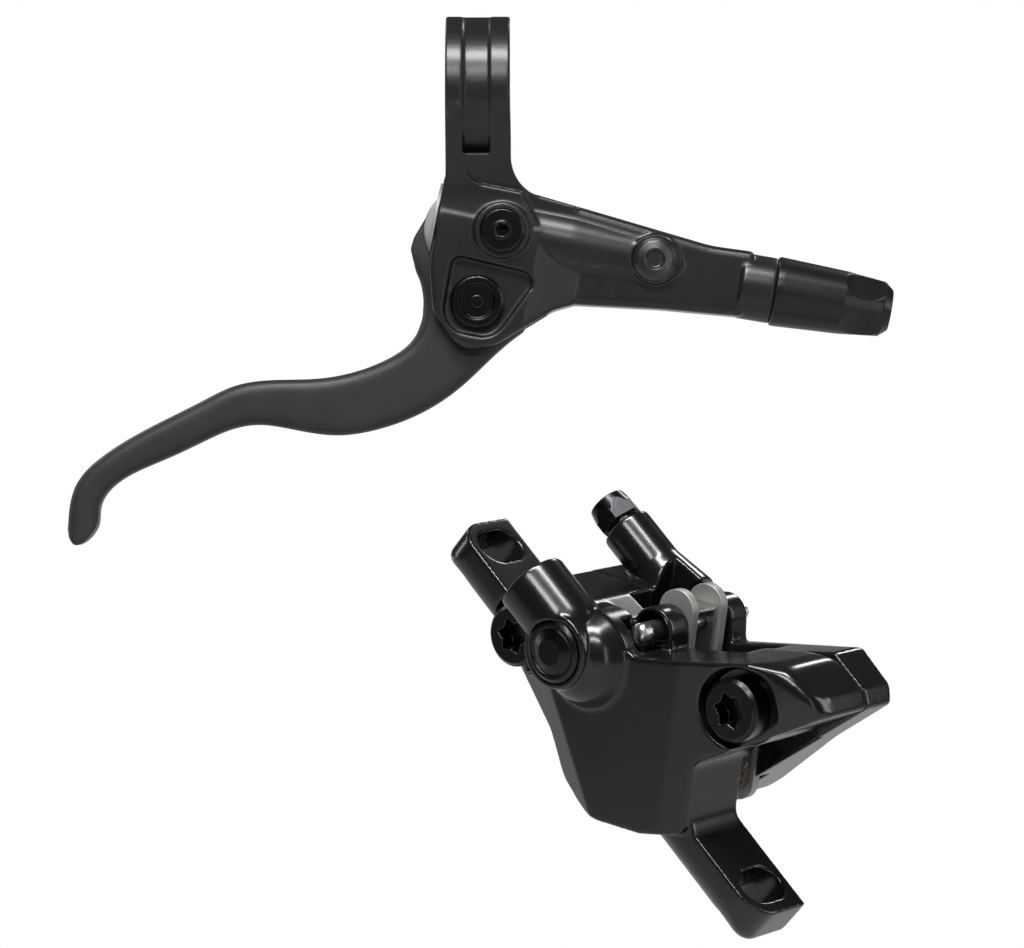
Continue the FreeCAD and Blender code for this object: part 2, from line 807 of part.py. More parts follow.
def hose_cover():
    """The soft cover over the hose nut, with four finger scallops near its end."""
    head_radius = hose_nut_flats / math.sqrt(3) + 0.3
    nut_end = hose_spigot_length + hose_nut_head_length + 0.3
    spigot_radius = hose_spigot_diameter / 2
    cover = turned([
        (0, spigot_radius),
        (0, cover_diameter / 2 - 0.3),
        (0.3, cover_diameter / 2),
        (1.4, cover_diameter / 2),
        (cover_mid_along, cover_mid_diameter / 2),
        (cover_end_along, cover_end_diameter / 2),
        (cover_length, cover_tip_diameter / 2),
        (cover_length, hose_bore_radius),
        (nut_end, hose_bore_radius),
        (nut_end, head_radius),
        (hose_spigot_length, head_radius),
        (hose_spigot_length, spigot_radius),
    ])
    for i in range(4):
        turn = math.radians(45 + 90 * i)
        reach = cover_end_diameter / 2 + cover_scallop_radius - cover_scallop_depth
        middle = (cover_mid_along + cover_end_along) / 2 + 1.0
        centre = vec(middle, reach * math.cos(turn), reach * math.sin(turn))
        side = vec(0, -math.sin(turn), math.cos(turn))
        cutter = Part.makeCylinder(cover_scallop_radius, 12, centre - side * 6, side)
        cover = cover.cut(cutter)
    return placed(cover, hose_frame)


# Lever blade
def blade_curve(points):
    curve = Part.BSplineCurve()
    curve.interpolate([vec(x, 0, z) for x, z in points])
    return curve.toShape()


def blade_outline():
    """The blade's side outline, from its upper edge round the tip to the beak behind the fork."""
    upper = [
        (-12.4, -36.0), (-10.9, -41.5), (-12.3, -48.6), (-19.6, -54.2), (-32.6, -57.4), (-43.6, -57.8),
        (-48.9, -58.9), (-55.0, -61.8), (-75.4, -73.2), (-78.3, -75.8), (-80.4, -78.9), (-81.4, -82.2),
        (-81.8, -86.2),
    ]
    tip = [(-81.8, -86.2), (-81.4, -89.6), (-80.3, -90.7), (-78.2, -89.8), (-76.0, -87.0), (-75.6, -84.2)]
    lower = [
        (-75.6, -84.2), (-74.6, -81.0), (-71.4, -77.8), (-63.2, -73.8), (-55.0, -70.0), (-48.9, -67.4),
        (-43.6, -66.6), (-38.7, -67.2), (-28.5, -68.7), (-19.6, -67.4), (-11.6, -64.4), (-3.6, -59.2),
        (2.4, -53.6), (9.2, -48.0),
    ]
    return [blade_curve(upper), blade_curve(tip), blade_curve(lower)]


def lever_blade():
    upper, tip, lower = blade_outline()
    pivot = barrel_frame.multVec(vec(pivot_along, 0, -pivot_below))
    arm_left = barrel_frame.multVec(vec(-17.2, 0, -7.0))
    arm_shoulder = barrel_frame.multVec(vec(-17.0, 0, -4.6))
    arm_top_left = barrel_frame.multVec(vec(-15.0, 0, 1.0))
    arm_top_right = barrel_frame.multVec(vec(reach_screw_tip - 1.0, 0, 2.4))
    arm_root = barrel_frame.multVec(vec(pivot_along - 6.2, 0, -pivot_below + 5.4))
    hub_top = barrel_frame.multVec(vec(pivot_along, 0, -pivot_below + 6.4))
    beak_top = vec(10.6, 0, -44.6)
    start = upper.Curve.value(upper.FirstParameter)
    end = lower.Curve.value(lower.LastParameter)
    closing = [
        Part.makeLine(end, beak_top),
        Part.makeLine(beak_top, hub_top),
        Part.makeLine(hub_top, arm_root),
        Part.makeLine(arm_root, arm_top_right),
        Part.makeLine(arm_top_right, arm_top_left),
        Part.makeLine(arm_top_left, arm_shoulder),
        Part.makeLine(arm_shoulder, arm_left),
        Part.makeLine(arm_left, start),
    ]
    wire = Part.Wire([upper, tip, lower] + closing)
    face = Part.Face(wire)
    face.translate(vec(0, -blade_width / 2, 0))
    blade = face.extrude(vec(0, blade_width, 0))
    blade = round_edges(blade, blade_edge, lambda edge: edge.BoundBox.YLength < 0.01
                        and edge.BoundBox.DiagonalLength > 12 and edge.BoundBox.XMin < -12.5)
    bush_radius = pivot_diameter / 2 + piston_clearance + bush_wall
    hole = rod(bush_radius, (pivot.x, -20, pivot.z), (pivot.x, 20, pivot.z))
    flange = bush_flange_diameter / 2
    inner_face = blade_hub_width / 2 - bush_flange_thickness
    blade = blade.cut(hole)
    for side in (-1, 1):
        seat = rod(flange, (pivot.x, side * inner_face, pivot.z), (pivot.x, side * 20, pivot.z))
        blade = blade.cut(seat)
    screw_hole = placed(rod(reach_screw_diameter / 2, (-40, 0, 0), (0, 0, 0)), barrel_frame)
    return blade.cut(screw_hole)


def reach_screw():
    start = reach_screw_tip - reach_screw_length
    screw = rod(reach_screw_diameter / 2, (start, 0, 0), (reach_screw_tip, 0, 0))
    socket = hexagon(2.0, (start, 0, 0), (1, 0, 0), 2.0)
    return placed(screw.cut(socket), barrel_frame)


# Caliper body
def on_mount(u, v):
    """A point of the caliper frame from its place along the mount line and off it."""
    along = u + mount_centre_along
    off = v + mount_line_offset
    return (along * mount_cos + off * mount_sin, -along * mount_sin + off * mount_cos)


def arm_top(along):
    """The height of the arm's top over the pistons' axis at a place along the arm."""
    return 14.1 + (along - 5.4) * 0.24


def arm_front(along):
    """The y of the arm's tilted front face at a place along it."""
    return -outer_face + (along - arm_tilt_start) * math.tan(math.radians(arm_tilt))


def nose_corners():
    return [
        (28.8, arm_top(28.8), 1.2),
        (35.3, 15.3, 1.2),
        (36.5, 12.5, 0.8),
    ]


def ear(side):
    """One mounting ear: a flat bar along the mount line with a rounded outer end."""
    end = side * (mount_spacing / 2 + ear_end)
    root = side * 16.0
    corners = [
        (*on_mount(root, 0), 0),
        (*on_mount(end, 0), 0),
        (*on_mount(end, -ear_thickness), 1.5),
        (*on_mount(root, -ear_thickness), 0),
    ]
    bar = prism(corners, mount_across - ear_width / 2, mount_across + ear_width / 2)
    tip = vec(on_mount(end, 0)[0], 0, on_mount(end, 0)[1])
    tangent = vec(mount_cos, 0, -mount_sin)
    return round_edges(bar, ear_rounding, lambda edge: edge.BoundBox.YLength < 0.01
                       and abs((edge.CenterOfMass - tip).dot(tangent)) < 0.1
                       and edge.CenterOfMass.y < mount_across)


def ear_blend():
    """What fills the corner between the outer half's wall and the lower ear."""
    wall = pad_pocket_right + 1.0
    corner_out = (on_mount(0, 0)[1] * mount_cos + (on_mount(0, 0)[0] - wall) * mount_sin) / mount_cos
    half = math.radians((90 + mount_turn) / 2)
    reach = ear_fillet / math.tan(half)
    corners = [
        (wall, corner_out + reach, 0),
        (wall + reach * mount_cos, corner_out - reach * mount_sin, 0),
        (wall - 1.0, corner_out - 1.0, 0),
    ]
    filler = prism(corners, mount_across - ear_width / 2, wall_end)
    bisector = math.radians(90) - half
    middle = ear_fillet / math.sin(half)
    x = wall + middle * math.cos(bisector)
    z = corner_out + middle * math.sin(bisector)
    return filler.cut(rod(ear_fillet, (x, -40, z), (x, 40, z)))


def slot_cutter(side):
    """The long hole of an ear, lengthened across the rotor."""
    centre = on_mount(side * mount_spacing / 2, 0)
    normal = vec(mount_sin, 0, mount_cos)
    radius = slot_width / 2
    straight = (slot_length - slot_width) / 2
    base = vec(centre[0], 0, centre[1]) - normal * 20
    cutter = None
    for shift in (-straight, straight):
        end = Part.makeCylinder(radius, 40, base + vec(0, mount_across + shift, 0), normal)
        cutter = cutter.fuse(end) if cutter else end
    tangent = vec(mount_cos, 0, -mount_sin)
    corners = [base + tangent * a + vec(0, mount_across + b, 0) for a, b in (
        (-radius, -straight), (radius, -straight), (radius, straight), (-radius, straight),
        (-radius, -straight))]
    middle = Part.Face(Part.makePolygon(corners)).extrude(normal * 40)
    return cutter.fuse(middle)


def body_bolt_places():
    return ((-body_bolt_along, body_bolt_out), (body_bolt_along, body_bolt_out))


def rotor_cutter():
    """The gap that the rotor runs in."""
    radius = rotor_radius + rotor_radial_clearance
    return rod(radius, (0, -rotor_gap / 2, rotor_centre_out), (0, rotor_gap / 2, rotor_centre_out))


def pad_pocket():
    """The pocket of the pads, open towards the rotor's centre, and the window above it."""
    depth = pad_pocket_half_depth
    pocket = block(pad_pocket_left, pad_pocket_right, -depth, depth, -40, pocket_roof)
    window = block(window_left, pad_pocket_right, -depth, depth, pocket_roof - 1, 40)
    return pocket.fuse(window)


def lug(near, far):
    """A lug that holds the pad pin: a post with a round top."""
    post = prism([
        (-lug_radius, 8.0, 0),
        (lug_radius + 1.4, 8.0, 0),
        (lug_radius + 0.2, pin_out - 2.0, 0),
        (lug_radius, pin_out, 0),
        (-lug_radius, pin_out, 0),
    ], near, far)
    return post.fuse(rod(lug_radius, (0, near, pin_out), (0, far, pin_out)))


def outer_outline():
    """The outline of the outer half without its ears, seen along the pistons' axis."""
    return [
        (-body_bolt_along - body_boss_radius + 1.0, body_bolt_out + 1.0, 3),
        (-body_bolt_along - 2.0, body_bolt_out - body_boss_radius, 3),
        (-14.4, -3.4, 6),
        (-10.5, -11.2, 6),
        (0, -housing_radius, 12),
        (8.4, -14.0, 3),
        (16.5, -11.9, 2),
        (16.5, 0.3, 3),
        *reversed(nose_corners()),
        (recess_corner_along, recess_corner_out, 2),
        (window_left, top_out, 1.5),
        (-22.0, top_out, 2),
    ]


def outer_half():
    body = prism(outer_outline(), -outer_face, 0)
    housing = rod(housing_radius, (0, -outer_face, 0), (0, 0, 0))
    housing = housing.cut(block(16.5, 40, -40, 40, -40, 40))
    body = body.fuse(housing)
    for x, z in body_bolt_places():
        body = body.fuse(rod(body_boss_radius, (x, -outer_face + 5.0, z), (x, 0, z)))
    nose = nose_corners()[-1][0] + 0.1
    body = body.common(upright([
        (-50, 0, 0),
        (-50, -outer_face, 0),
        (arm_tilt_start, -outer_face, 0),
        (nose, arm_front(nose), nose_rounding),
        (nose, 0, 0),
    ], -40, 60))
    lower_edge = beyond(
        (ridge_start, arm_front(ridge_start), ridge_out),
        (ridge_start, arm_front(ridge_start) + ridge_depth, ridge_out - ridge_height),
        (ridge_end, arm_front(ridge_end), ridge_end_out),
    )
    body = body.cut(lower_edge.common(block(body_bolt_along, 60, -60, 0, -40, 60)))
    facet = Part.makeBox(30, 30, 80, vec(0, -30, -40))
    facet.rotate(vec(0, 0, 0), vec(0, 0, 1), bevel_angle)
    facet.translate(vec(bevel_offset, -outer_face, 0))
    facet.rotate(vec(0, 0, 0), vec(0, 1, 0), -bevel_turn)
    body = body.cut(facet)
    body = body.cut(block(wall_corner_along, 17, wall_end, 0, -40, wall_corner_out))
    for side in (-1, 1):
        body = body.fuse(ear(side))
    body = body.fuse(ear_blend())
    for side in (-1, 1):
        body = body.cut(slot_cutter(side))
    body = body.fuse(lug(lug_near, -pad_pocket_half_depth))
    port_start = vec(port_along, port_across, port_out)
    port_line = vec(mount_cos, 0, -mount_sin)
    port = Part.makeCylinder(port_diameter / 2, port_length, port_start, port_line)
    port = port.fuse(Part.makeSphere(port_diameter / 2, port_start + port_line * port_length))
    hump = turned_across([
        (hump_face, 0),
        (hump_face, hump_tip_radius),
        (-outer_face, hump_radius),
        (-outer_face + 6, hump_radius),
        (-outer_face + 6, 0),
    ], hump_along, hump_out)
    hump = round_edges(hump, hump_tip_radius - 0.4, lambda edge: edge.BoundBox.YMax < hump_face + 0.01
                       and edge.BoundBox.XLength > 1)
    boss = rod(passage_boss_diameter / 2, (passage_plug_along, passage_boss_face, passage_plug_out),
               (passage_plug_along, -10, passage_plug_out))
    body = body.fuse(port).fuse(hump).fuse(boss)

    port_bore = Part.makeCylinder(port_bore_diameter / 2, port_bore_depth, port_start, port_line)
    port_feed = Part.makeCylinder(port_seat_diameter / 2, port_length, port_start, port_line)
    port_relief = Part.makeCylinder(port_relief_diameter / 2, port_relief_reach, port_start, port_line * -1)
    bore_depth = plate_outside + caliper_piston_length + piston_bore_clearance
    bore = rod(piston_radius + piston_clearance, (0, -bore_depth, 0), (0, 0, 0))
    groove_radius = piston_radius + square_seal_height
    groove_near = -pad_pocket_half_depth - square_seal_from_pocket - square_seal_width
    groove = rod(groove_radius, (0, groove_near, 0), (0, groove_near + square_seal_width, 0))
    recess_start = lug_near - pin_head_reach - 1.0
    pin_hole = rod(pin_hole_radius, (0, recess_start, pin_out), (0, 0, pin_out))
    recess = rod(lug_recess_diameter / 2, (0, recess_start, pin_out), (0, lug_near + lug_recess_depth, pin_out))
    plug_seat = rod(passage_plug_diameter / 2, (passage_plug_along, -60, passage_plug_out),
                    (passage_plug_along, passage_boss_face + passage_plug_flange, passage_plug_out))
    plug_hole = rod(passage_plug_stem_diameter / 2, (passage_plug_along, -60, passage_plug_out),
                    (passage_plug_along, passage_boss_face + passage_plug_stem_length, passage_plug_out))
    tools = [port_bore, port_feed, port_relief, bore, groove, pin_hole, recess, plug_seat, plug_hole,
             rotor_cutter(), pad_pocket()]
    seat = body_bolt_head_face + body_bolt_head_height
    for x, z in body_bolt_places():
        tools.append(rod(body_bolt_diameter / 2 + bolt_hole_clearance, (x, -60, z), (x, 0, z)))
        tools.append(rod(body_bolt_counterbore / 2, (x, -60, z), (x, seat, z)))
    for tool in tools:
        body = body.cut(tool)
    return placed(body.removeSplitter(), caliper_frame)


def inner_outline():
    """The outline of the inner half, seen along the pistons' axis."""
    return [
        (-body_bolt_along - body_boss_radius, body_bolt_out + 2.0, 3),
        (-body_bolt_along - 1.0, body_bolt_out - body_boss_radius, 4),
        (-13.6, -4.0, 6),
        (-9.0, -11.0, 6),
        (0, -14.0, 12),
        (7.8, -12.4, 8),
        *reversed(nose_corners()),
        (-1.0, arm_top(-1.0), 2),
        (window_left, top_out, 1.5),
        (-22.0, top_out, 2),
    ]


def inner_half():
    body = prism(inner_outline(), 0, inner_face)
    nose = nose_corners()[-1][0] + 0.1
    body = body.common(upright([
        (-50, 0, 0),
        (nose, 0, 0),
        (nose, back_nose_face - 0.8, 1.5),
        (back_slope_end, back_nose_face, 3),
        (back_slope_start, inner_face, 3),
        (-50, inner_face, 0),
    ], -40, 60))
    bevel = beyond(
        (back_slope_start, inner_face / 2, arm_top(back_slope_start)),
        (back_slope_end, back_nose_face, arm_top(back_slope_end) - 0.2),
        (back_slope_start, inner_face, arm_top(back_slope_start) - back_bevel_drop),
    )
    body = body.cut(bevel.common(block(-1, 60, 0, 60, 0, 60)))
    body = body.fuse(lug(pad_pocket_half_depth, lug_far))
    port_start = vec(bleed_port_along, bleed_port_across, bleed_port_out)
    port_line = vec(mount_cos, 0, -mount_sin)
    port = Part.makeCylinder(bleed_port_diameter / 2, bleed_port_length, port_start, port_line)
    flare = Part.makeCone(bleed_port_diameter / 2, bleed_port_base_diameter / 2,
                          bleed_port_length - bleed_port_flare_start,
                          port_start + port_line * bleed_port_flare_start, port_line)
    body = body.fuse(port).fuse(flare)
    for x, z in body_bolt_places():
        body = body.fuse(rod(inner_boss_radius, (x, 0, z), (x, body_bolt_end, z)))

    thread = Part.makeCylinder(nipple_neck_diameter / 2, nipple_thread_length + 0.4, port_start, port_line)
    bore_depth = plate_outside + caliper_piston_length + piston_bore_clearance
    bore = rod(piston_radius + piston_clearance, (0, 0, 0), (0, bore_depth, 0))
    groove_near = pad_pocket_half_depth + square_seal_from_pocket
    groove = rod(piston_radius + square_seal_height, (0, groove_near, 0),
                 (0, groove_near + square_seal_width, 0))
    pin_hole = rod(pin_hole_radius, (0, 0, pin_out), (0, 40, pin_out))
    tools = [thread, bore, groove, pin_hole, rotor_cutter(), pad_pocket()]
    for x, z in body_bolt_places():
        tools.append(rod(body_bolt_diameter / 2 + bolt_hole_clearance, (x, -1, z), (x, body_bolt_end - 1, z)))
    for tool in tools:
        body = body.cut(tool)
    return placed(body.removeSplitter(), caliper_frame)


def body_bolts():
    bolts = []
    seat = body_bolt_head_face + body_bolt_head_height
    for x, z in body_bolt_places():
        bolt = turned_across([
            (body_bolt_head_face, 0),
            (body_bolt_head_face, body_bolt_head_diameter / 2 - 0.6),
            (body_bolt_head_face + 0.6, body_bolt_head_diameter / 2),
            (seat, body_bolt_head_diameter / 2),
            (seat, body_bolt_diameter / 2),
            (body_bolt_end - 1.4, body_bolt_diameter / 2),
            (body_bolt_end - 1.4, 0),
        ], x, z)
        bolt = bolt.cut(star_socket(body_bolt_socket_tip, body_bolt_socket_valley, x, body_bolt_head_face, z,
                                    body_bolt_socket_depth))
        bolts.append(placed(bolt, caliper_frame))
    return Part.makeCompound(bolts)


def passage_plug():
    """The stepped plug in the round boss beside the hose port, a flange with a stem."""
    radius = passage_plug_diameter / 2
    step = passage_plug_step_diameter / 2
    face = passage_boss_face - passage_plug_proud
    plug = turned_across([
        (passage_boss_face + passage_plug_stem_length, 0),
        (passage_boss_face + passage_plug_stem_length, passage_plug_stem_diameter / 2),
        (passage_boss_face + passage_plug_flange, passage_plug_stem_diameter / 2),
        (passage_boss_face + passage_plug_flange, radius),
        (passage_boss_face - 0.2, radius),
        (passage_boss_face - 0.6, radius - 0.5),
        (passage_boss_face - 0.6, step + 0.2),
        (passage_boss_face - 0.3, step),
        (passage_boss_face - 0.5, step),
        (face, passage_plug_face_diameter / 2),
        (face, 0),
    ], passage_plug_along, passage_plug_out)
    return placed(plug, caliper_frame)


def bleed_nipple():
    start = vec(bleed_port_along, bleed_port_across, bleed_port_out)
    inward = vec(mount_cos, 0, -mount_sin)
    outward = inward * -1
    thread = Part.makeCylinder(nipple_neck_diameter / 2 - 0.05, nipple_thread_length, start, inward)
    neck = Part.makeCylinder(nipple_neck_diameter / 2 - 0.05, nipple_neck_length, start, outward)
    head_start = start + outward * nipple_neck_length
    head = hexagon(nipple_flats, tuple(head_start), tuple(outward), nipple_head_length)
    corner = nipple_flats / math.sqrt(3)
    dome = Part.makeCone(corner + 0.15, corner - 0.75, nipple_head_length, head_start, outward)
    dome = dome.fuse(Part.makeCylinder(corner + 0.2, nipple_head_length * 0.45, head_start, outward))
    head = head.common(dome)
    bore = Part.makeCylinder(nipple_bore_diameter / 2, 40, start + outward * 20, inward)
    return placed(thread.fuse(neck).fuse(head).cut(bore), caliper_frame)


def passage_o_ring():
    ring = plain_ring(o_ring_radius, o_ring_section, (o_ring_along, 0, o_ring_out), (0, 1, 0))
    return placed(ring, caliper_frame)


# Caliper pistons and pads
def caliper_piston(side):
    """A cup piston, its open end towards the pad; side is -1 for the outer one and 1 for the inner."""
    near = side * plate_outside
    far = side * (plate_outside + caliper_piston_length)
    floor = far - side * caliper_piston_wall
    inner = piston_radius - caliper_piston_wall
    piston = turned_across([
        (near, inner),
        (near, piston_radius),
        (far - side * 0.8, piston_radius),
        (far, piston_radius - 0.8),
        (far, 0),
        (floor, 0),
        (floor, inner),
    ], 0, 0)
    return placed(piston, caliper_frame)


def square_seals():
    seals = []
    inner = piston_radius + piston_clearance
    for side in (-1, 1):
        near = side * (pad_pocket_half_depth + square_seal_from_pocket)
        seals.append(placed(turned_across([
            (near, inner),
            (near, piston_radius + square_seal_height),
            (near + side * square_seal_width, piston_radius + square_seal_height),
            (near + side * square_seal_width, inner),
        ], 0, 0), caliper_frame))
    return Part.makeCompound(seals)


def pad_plate(side):
    """A backing plate with its tab for the pin."""
    near = side * (pad_gap / 2 + lining_thickness)
    far = near + side * plate_thickness
    plate = prism([
        (pad_left, pad_bottom, pad_corner),
        (pad_right, pad_bottom, pad_corner),
        (pad_right, pad_top, pad_corner),
        (tab_radius, pad_top, 1.5),
        (tab_radius, tab_centre_out, 0),
        (-tab_radius, tab_centre_out, 0),
        (-tab_radius, pad_top, 1.5),
        (pad_left, pad_top, pad_corner),
    ], near, far)
    plate = plate.fuse(rod(tab_radius, (0, near, tab_centre_out), (0, far, tab_centre_out)))
    hole = rod(pin_hole_radius, (0, -20, pin_out), (0, 20, pin_out))
    return placed(plate.cut(hole), caliper_frame)


def pad_lining(side):
    near = side * pad_gap / 2
    lining = prism([
        (pad_left + lining_inset, pad_bottom + lining_inset, pad_corner),
        (pad_right - lining_inset, pad_bottom + lining_inset, pad_corner),
        (pad_right - lining_inset, pad_top - 3 * lining_inset, pad_corner),
        (pad_left + lining_inset, pad_top - 3 * lining_inset, pad_corner),
    ], near, near + side * lining_thickness)
    return placed(lining, caliper_frame)


def pad_spring():
    """The bent strip between the two tabs, a crown with a leg along each plate."""
    outer = pad_gap / 2 + lining_thickness - 0.3
    inner = outer - spring_strip
    half = spring_strip_width / 2
    crown = block(-half, half, -outer, outer, spring_crown_out - spring_strip, spring_crown_out)
    legs = [
        block(-half, half, min(side * inner, side * outer), max(side * inner, side * outer),
              spring_leg_bottom, spring_crown_out)
        for side in (-1, 1)
    ]
    hole = rod(pin_hole_radius + 0.1, (0, -20, pin_out), (0, 20, pin_out))
    return placed(crown.fuse(legs).cut(hole), caliper_frame)


def pad_pin():
    """The split pin through lugs and pads, with its slotted head in the near lug's recess."""
    front = lug_near - pin_head_reach
    radius = pin_head_diameter / 2
    head = turned_across([
        (front, 0),
        (front, radius - 0.7),
        (front + 0.2, radius - 0.3),
        (front + 0.7, radius),
        (lug_near + lug_recess_depth, radius),
        (lug_near + lug_recess_depth, 0),
    ], 0, pin_out)
    head = head.cut(block(-pin_head_slot / 2, pin_head_slot / 2, front - 1, front + 0.8, pin_out - 5, pin_out + 5))
    shank = rod(pin_diameter / 2, (0, lug_near, pin_out), (0, lug_far + pin_far_reach, pin_out))
    split = block(-0.1, 0.1, lug_near + 4, lug_far + pin_far_reach + 1, pin_out - 5, pin_out + 5)
    return placed(shank.cut(split).fuse(head), caliper_frame)


os.makedirs("parts", exist_ok=True)
export("lever_housing", lever_housing())
export("clamp_bolt", clamp_bolt())
export("end_collar", end_collar())
export("lever_blade", lever_blade())
export("reach_screw", reach_screw())
export("pivot_pin", pivot_pin())
export("pivot_clip", pivot_clip())
export("pivot_bushes", pivot_bushes())
export("bleed_screw", bleed_screw())
export("channel_plug", channel_plug())
export("master_piston", master_piston())
export("primary_seal", piston_seal(seal_grooves()[1]))
export("secondary_seal", piston_seal(seal_grooves()[0]))
export("push_rod", push_rod())
export("retaining_ring", retaining_ring())
export("piston_spring", piston_spring())
export("hose_nut", hose_nut())
export("hose_cover", hose_cover())
export("caliper_outer_half", outer_half())
export("caliper_inner_half", inner_half())
export("body_bolts", body_bolts())
export("passage_plug", passage_plug())
export("passage_o_ring", passage_o_ring())
export("bleed_nipple", bleed_nipple())
for side, name in ((-1, "outer"), (1, "inner")):
    export(name + "_piston", caliper_piston(side))
    export(name + "_pad_plate", pad_plate(side))
    export(name + "_pad_lining", pad_lining(side))
export("piston_seals", square_seals())
export("pad_spring", pad_spring())
export("pad_pin", pad_pin())
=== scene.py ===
"""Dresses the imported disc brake: materials, soft skins, lights and the photograph's camera."""
import math

import bpy
from mathutils import Euler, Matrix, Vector


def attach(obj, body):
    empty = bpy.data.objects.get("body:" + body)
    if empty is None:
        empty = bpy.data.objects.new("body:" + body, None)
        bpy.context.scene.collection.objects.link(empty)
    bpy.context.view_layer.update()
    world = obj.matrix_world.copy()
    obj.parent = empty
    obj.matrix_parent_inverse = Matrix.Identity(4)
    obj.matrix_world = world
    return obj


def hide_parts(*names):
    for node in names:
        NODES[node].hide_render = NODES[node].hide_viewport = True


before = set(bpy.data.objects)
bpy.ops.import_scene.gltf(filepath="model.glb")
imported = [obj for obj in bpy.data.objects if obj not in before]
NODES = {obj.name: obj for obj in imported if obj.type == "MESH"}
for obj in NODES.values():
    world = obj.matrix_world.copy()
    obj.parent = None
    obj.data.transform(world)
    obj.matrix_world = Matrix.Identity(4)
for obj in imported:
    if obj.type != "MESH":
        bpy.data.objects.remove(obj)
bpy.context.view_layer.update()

MM = 0.001

# Wear with painted edge highlight, and grain, that all finishes share, with noise in waves per millimetre
CORNER_SAMPLES = 6
CORNER_PLAIN_COSINE = 1.0
CORNER_WORN_AND_LIT_COSINE = 0.8
SKIN_PLAIN_BEND = 0.52
SKIN_WORN_AND_LIT_BEND = 0.62
NOISE_LOW = 0.3
NOISE_HIGH = 0.7
CLOUD_PER_MM = 0.12
GLOSS_PER_MM = 0.4
GLOSS_CHANGE = 0.05
GRAIN_STRENGTH = 0.35

# Friction lining
LINING_RESIN = (0.035, 0.028, 0.024)
LINING_FLECKS = (0.26, 0.20, 0.14)
LINING_ROUGHNESS = 0.85
FLECKS_PER_MM = 3.0
FLECK_START = 0.62
FLECK_FULL = 0.66
FIBRES_PER_MM = 2.2
FIBRE_HEIGHT = 0.08
FIBRE_STRENGTH = 0.6

# Soft skins, in millimetres
WELD_DISTANCE = 0.002
SKIN_VOXEL = 0.2
SOFTEN_FACTOR = 0.5

# The caliper's own frame: its middle in metres, and its turns about x, y and z in degrees
CALIPER_MIDDLE = Vector((0.0344, -0.1368, -0.1173))
CALIPER_TURNS = (6.1, 13.7, -38.8)

# The nose's broadly rounded edges, in millimetres in the caliper's frame: its front edge and its brow
NOSE_EDGES = (
    ((28.8, -15.1, 19.7), (35.6, -13.6, 14.6)),
    ((28.0, -16.0, 19.8), (28.0, -1.0, 19.8)),
)
NOSE_EDGE_REACH = 4.5
NOSE_EDGE_ROUNDS = 600

# The cast and forged nodes: rounds of softening, share of the fine skin's faces that is kept, and broad edges
CAST = {
    "lever_housing": (30, 0.28, ()),
    "caliper_outer_half": (30, 0.27, NOSE_EDGES),
    "caliper_inner_half": (30, 0.34, ()),
    "lever_blade": (60, 0.25, ()),
}
BODY_OF = {**dict.fromkeys(CAST, "housing_and_caliper"), "lever_blade": "lever"}

# The photograph's camera, with its place in metres and its lens in millimetres
CAMERA_PLACE = (0.0068, -0.800, -0.0764)
CAMERA_LENS = 140.6
SENSOR_WIDTH = 36.0

# Stage, in metres and degrees: it turns white behind the object, from WHITE_START to WHITE_FULL
FLOOR_HEIGHT = -0.30
FLOOR_HALF = 6.0
WALL_RADIUS = 2.6
WALL_TOP = 0.42
WALL_SEGMENTS = 24
WALL_HALF_ANGLE = 24
WHITE_START = 0.5
WHITE_FULL = 1.0
STAGE_COLOUR = (0.5, 0.5, 0.51, 1)
STAGE_ROUGHNESS = 0.9

# Light
WORLD_COLOUR = (0.055, 0.056, 0.060, 1)
LAMP_TARGET = (0.0, -0.07, -0.07)


# Nodes of materials
def new_material(name):
    """A material with only a Principled shader that feeds its output."""
    material = bpy.data.materials.new(name)
    material.use_nodes = True
    tree = material.node_tree
    tree.nodes.clear()
    output = tree.nodes.new("ShaderNodeOutputMaterial")
    shader = tree.nodes.new("ShaderNodeBsdfPrincipled")
    tree.links.new(shader.outputs["BSDF"], output.inputs["Surface"])
    return material, tree, shader, output


def noise(tree, per_mm, detail=3.0, stretch=(1, 1, 1)):
    """A noise texture in the object's own millimetres, drawn out along an axis where stretch says so."""
    place = tree.nodes.new("ShaderNodeTexCoord")
    mapping = tree.nodes.new("ShaderNodeMapping")
    mapping.inputs["Scale"].default_value = [per_mm / MM * s for s in stretch]
    texture = tree.nodes.new("ShaderNodeTexNoise")
    texture.inputs["Scale"].default_value = 1.0
    texture.inputs["Detail"].default_value = detail
    tree.links.new(place.outputs["Object"], mapping.inputs["Vector"])
    tree.links.new(mapping.outputs["Vector"], texture.inputs["Vector"])
    return texture.outputs["Fac"]


def ranged(tree, value, start, end, low=0.0, high=1.0, steps="LINEAR"):
    """The value's stretch from start to end, mapped to the stretch from low to high."""
    node = tree.nodes.new("ShaderNodeMapRange")
    node.interpolation_type = steps
    node.inputs["From Min"].default_value = start
    node.inputs["From Max"].default_value = end
    node.inputs["To Min"].default_value = low
    node.inputs["To Max"].default_value = high
    tree.links.new(value, node.inputs["Value"])
    return node.outputs["Result"]


def combined(tree, operation, first, second):
    """The result of a calculation with two values."""
    node = tree.nodes.new("ShaderNodeMath")
    node.operation = operation
    tree.links.new(first, node.inputs[0])
    tree.links.new(second, node.inputs[1])
    return node.outputs["Value"]


def feed(tree, socket, colour):
    """Sets a socket to a colour, or links it to the node's output that gives the colour."""
    if isinstance(colour, bpy.types.NodeSocket):
        tree.links.new(colour, socket)
    else:
        socket.default_value = (*colour, 1)


def mixed(tree, amount, first, second):
    """Two colours mixed by an amount."""
    node = tree.nodes.new("ShaderNodeMix")
    node.data_type = "RGBA"
    tree.links.new(amount, node.inputs[0])
    feed(tree, node.inputs[6], first)
    feed(tree, node.inputs[7], second)
    return node.outputs[2]


